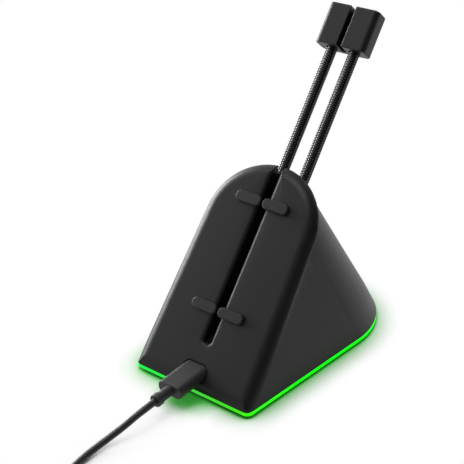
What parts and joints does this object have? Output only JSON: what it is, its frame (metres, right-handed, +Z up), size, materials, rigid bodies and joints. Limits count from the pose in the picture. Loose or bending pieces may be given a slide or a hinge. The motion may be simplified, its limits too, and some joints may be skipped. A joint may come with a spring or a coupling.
{
  "type": "mouse bungee",
  "caption": "Weighted wedge stand with a lit base ring and springy arms that hold a mouse lead clear of the desk; slot and rubber tabs stow the lead, a short plug powers the light.",
  "frame": {"origin": "on the desk, midway between the front lip and the back of the head, on the middle plane", "axes": "+Z up from the desk; -Y towards the slot side, where the lead leaves; +X to the right seen from there"},
  "size_m": [0.0838, 0.2891, 0.1373],
  "materials": {
    "housing_plastic": "soft-touch black, fine moulded grain",
    "tab_rubber": "soft black rubber",
    "arm_braid": "woven black sleeve",
    "spring_steel": "closely wound steel wire",
    "inner_plastic": "plain black moulding",
    "screw_steel": "zinc plated",
    "head_rubber": "soft black rubber, fine grain",
    "foot_rubber": "grey-black anti-slip rubber",
    "ring_diffuser": "clear band lit green",
    "board": "green solder mask",
    "lamp": "small surface lamps",
    "chip": "black moulded package",
    "plug_steel": "drawn steel shell",
    "contact_plastic": "black moulded tongue with contacts",
    "ballast_steel": "plain mild steel plate",
    "plug_grip": "matte dark grey overmould",
    "cable_jacket": "smooth dark grey jacket",
    "tie": "plain black strap"
  },
  "bodies": {
    "stand": {"arm_holder": "inner_plastic", "arm_holder_screws": "screw_steel", "arm_sleeve_left": "arm_braid", "arm_sleeve_right": "arm_braid", "arm_spring_left": "spring_steel", "arm_spring_right": "spring_steel", "ballast_plate": "ballast_steel", "ballast_screws": "screw_steel", "base_plate": "inner_plastic", "base_screws": "screw_steel", "board_screws": "screw_steel", "cable_coil": "cable_jacket", "cable_tab_lower_left": "tab_rubber", "cable_tab_lower_right": "tab_rubber", "cable_tab_upper_left": "tab_rubber", "cable_tab_upper_right": "tab_rubber", "cable_tail": "cable_jacket", "cable_tie": "tie", "circuit_board": "board", "controller_chip": "chip", "foot_front_left": "foot_rubber", "foot_front_right": "foot_rubber", "foot_rear_left": "foot_rubber", "foot_rear_right": "foot_rubber", "housing": "housing_plastic", "leds": "lamp", "light_ring": "ring_diffuser", "usb_a_plug": "plug_grip", "usb_a_shell": "plug_steel", "usb_a_tongue": "contact_plastic", "usb_c_plug": "plug_grip", "usb_c_plug_shell": "plug_steel", "usb_cable": "cable_jacket", "usb_socket_shell": "plug_steel", "usb_socket_tongue": "contact_plastic"},
    "head": {"cable_head": "head_rubber"}
  },
  "joints": [
    {"name": "arm_sway", "type": "hinge", "parent": "stand", "child": "head", "pos_m": [0, 0.01419, 0.077], "axis": [1, 0, 0], "range_deg": [-18, 18], "stiffness_Nm_per_rad": 0.18, "deforming": ["arm_sleeve_left", "arm_sleeve_right", "arm_spring_left", "arm_spring_right"]}
  ]
}
